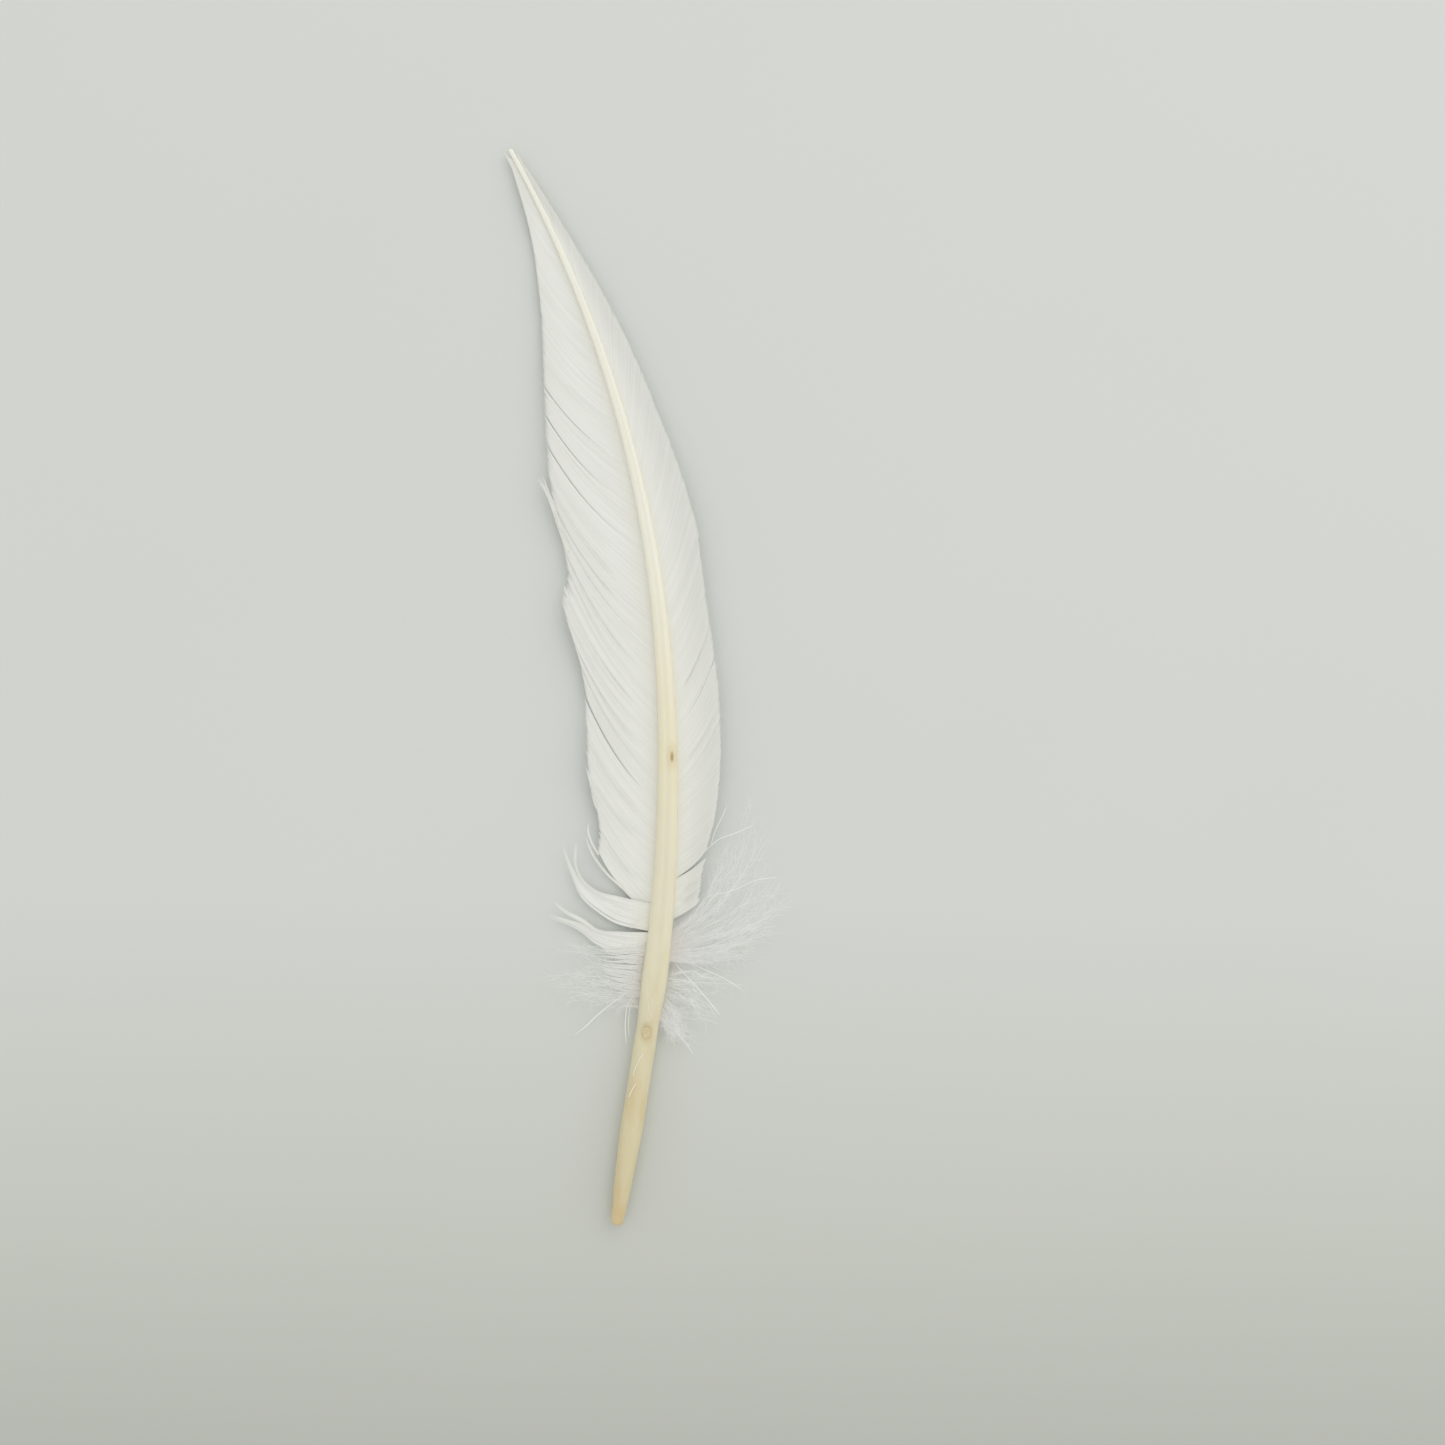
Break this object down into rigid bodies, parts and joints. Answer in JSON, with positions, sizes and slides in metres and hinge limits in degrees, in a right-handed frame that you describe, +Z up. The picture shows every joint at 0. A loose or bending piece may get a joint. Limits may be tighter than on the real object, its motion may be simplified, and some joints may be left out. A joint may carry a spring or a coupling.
{
  "type": "quill pen",
  "caption": "Uncut goose flight feather for a quill pen: hollow horn barrel, pith-filled rachis, split vanes and loose down at the base.",
  "frame": {"origin": "under the middle of the feather's overall box, on the surface that it rests on", "axes": "+Y along the shaft from the barrel to the feather's tip, +X towards the narrow leading vane, +Z up out of the grooved underside"},
  "size_m": [0.0696, 0.2571, 0.006],
  "materials": {
    "barrel_horn": "polished translucent horn, mottled amber towards the end",
    "rachis_horn": "satin cream horn",
    "pith": "matt white foam",
    "dried_pulp": "thin dry brown membrane",
    "vane_barbs": "silky off-white barbs",
    "down": "soft white down"
  },
  "bodies": {
    "root": {"afterfeather": "down", "barrel": "barrel_horn", "inner_basal_web": "down", "inner_down": "down", "inner_lock_lower": "vane_barbs", "inner_lock_upper": "vane_barbs", "inner_web_1": "vane_barbs", "inner_web_2": "vane_barbs", "inner_web_3": "vane_barbs", "inner_web_4": "vane_barbs", "inner_web_5": "vane_barbs", "inner_web_6": "vane_barbs", "inner_web_7": "vane_barbs", "inner_web_8": "vane_barbs", "lower_umbilicus_plug": "dried_pulp", "outer_down_lower": "down", "outer_down_upper": "down", "outer_web_1": "vane_barbs", "outer_web_2": "vane_barbs", "outer_web_3": "vane_barbs", "outer_web_4": "vane_barbs", "outer_web_5": "vane_barbs", "outer_web_6": "vane_barbs", "outer_web_7": "vane_barbs", "pulp_caps": "dried_pulp", "rachis_cortex": "rachis_horn", "rachis_pith": "pith", "upper_umbilicus_plug": "dried_pulp"}
  },
  "joints": []
}
